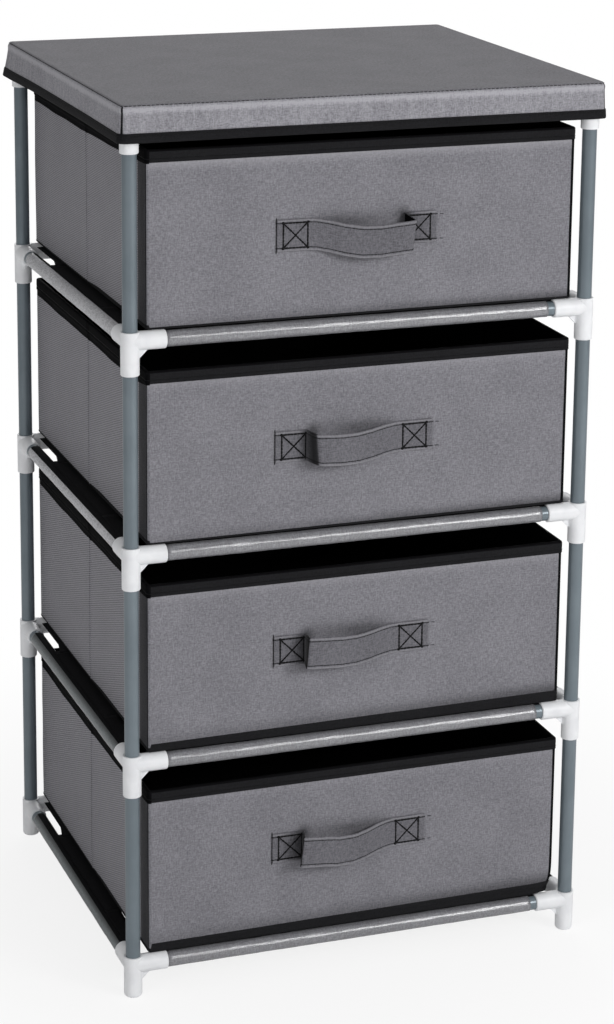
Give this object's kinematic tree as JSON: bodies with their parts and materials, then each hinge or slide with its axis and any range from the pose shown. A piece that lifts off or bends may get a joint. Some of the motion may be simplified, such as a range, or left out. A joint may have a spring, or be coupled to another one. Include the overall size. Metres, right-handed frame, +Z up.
{
  "type": "fabric drawer dresser",
  "caption": "Narrow fabric dresser: steel tubes in moulded plastic corner connectors, cloth shelves, pull-out cloth drawers with strap handles and a lift-off cloth lid.",
  "frame": {"origin": "on the floor under the middle of the overall length and width", "axes": "+Z up, +X to the right as seen from the front, -Y towards the user, the way the drawers open"},
  "size_m": [0.4408, 0.399, 0.8022],
  "materials": {
    "post_paint": "satin grey paint on steel tube",
    "rail_paint": "satin grey paint on steel tube",
    "connector_plastic": "white moulded plastic",
    "shelf_cloth": "black non-woven sheet with grey casings",
    "drawer_cloth": "heather grey non-woven cloth",
    "strap_cloth": "heather grey strap, black stitching",
    "lid_cloth": "heather grey non-woven cloth",
    "binding_cloth": "black binding",
    "board": "plain grey-brown board",
    "covered_board": "board covered in black lining cloth"
  },
  "bodies": {
    "frame": {"post_front_left": "post_paint", "foot_connector_front_left": "connector_plastic", "connector_2_front_left": "connector_plastic", "connector_3_front_left": "connector_plastic", "connector_4_front_left": "connector_plastic", "top_connector_front_left": "connector_plastic", "post_front_right": "post_paint", "foot_connector_front_right": "connector_plastic", "connector_2_front_right": "connector_plastic", "connector_3_front_right": "connector_plastic", "connector_4_front_right": "connector_plastic", "top_connector_front_right": "connector_plastic", "post_back_right": "post_paint", "foot_connector_back_right": "connector_plastic", "connector_2_back_right": "connector_plastic", "connector_3_back_right": "connector_plastic", "connector_4_back_right": "connector_plastic", "top_connector_back_right": "connector_plastic", "post_back_left": "post_paint", "foot_connector_back_left": "connector_plastic", "connector_2_back_left": "connector_plastic", "connector_3_back_left": "connector_plastic", "connector_4_back_left": "connector_plastic", "top_connector_back_left": "connector_plastic", "rail_1_front": "rail_paint", "rail_1_back": "rail_paint", "rail_1_left": "rail_paint", "rail_1_right": "rail_paint", "rail_2_front": "rail_paint", "rail_2_back": "rail_paint", "rail_2_left": "rail_paint", "rail_2_right": "rail_paint", "rail_3_front": "rail_paint", "rail_3_back": "rail_paint", "rail_3_left": "rail_paint", "rail_3_right": "rail_paint", "rail_4_front": "rail_paint", "rail_4_back": "rail_paint", "rail_4_left": "rail_paint", "rail_4_right": "rail_paint", "top_rails": "rail_paint", "shelf_1": "shelf_cloth", "shelf_2": "shelf_cloth", "shelf_3": "shelf_cloth", "shelf_4": "shelf_cloth"},
    "lid": {"lid_board": "board", "lid_cover": "lid_cloth", "lid_band": "binding_cloth"},
    "drawer_1": {"drawer_1_box": "drawer_cloth", "drawer_1_base_board": "covered_board", "drawer_1_handle": "strap_cloth"},
    "drawer_2": {"drawer_2_box": "drawer_cloth", "drawer_2_base_board": "covered_board", "drawer_2_handle": "strap_cloth"},
    "drawer_3": {"drawer_3_box": "drawer_cloth", "drawer_3_base_board": "covered_board", "drawer_3_handle": "strap_cloth"},
    "drawer_4": {"drawer_4_box": "drawer_cloth", "drawer_4_base_board": "covered_board", "drawer_4_handle": "strap_cloth"}
  },
  "joints": [
    {"name": "lid_lift", "type": "slide", "parent": "frame", "child": "lid", "axis": [0, 0, 1], "range_m": [0, 0.05]},
    {"name": "drawer_1_slide", "type": "slide", "parent": "frame", "child": "drawer_1", "axis": [0, -1, 0], "range_m": [0, 0.28]},
    {"name": "drawer_2_slide", "type": "slide", "parent": "frame", "child": "drawer_2", "axis": [0, -1, 0], "range_m": [0, 0.28]},
    {"name": "drawer_3_slide", "type": "slide", "parent": "frame", "child": "drawer_3", "axis": [0, -1, 0], "range_m": [0, 0.28]},
    {"name": "drawer_4_slide", "type": "slide", "parent": "frame", "child": "drawer_4", "axis": [0, -1, 0], "range_m": [0, 0.28]}
  ]
}
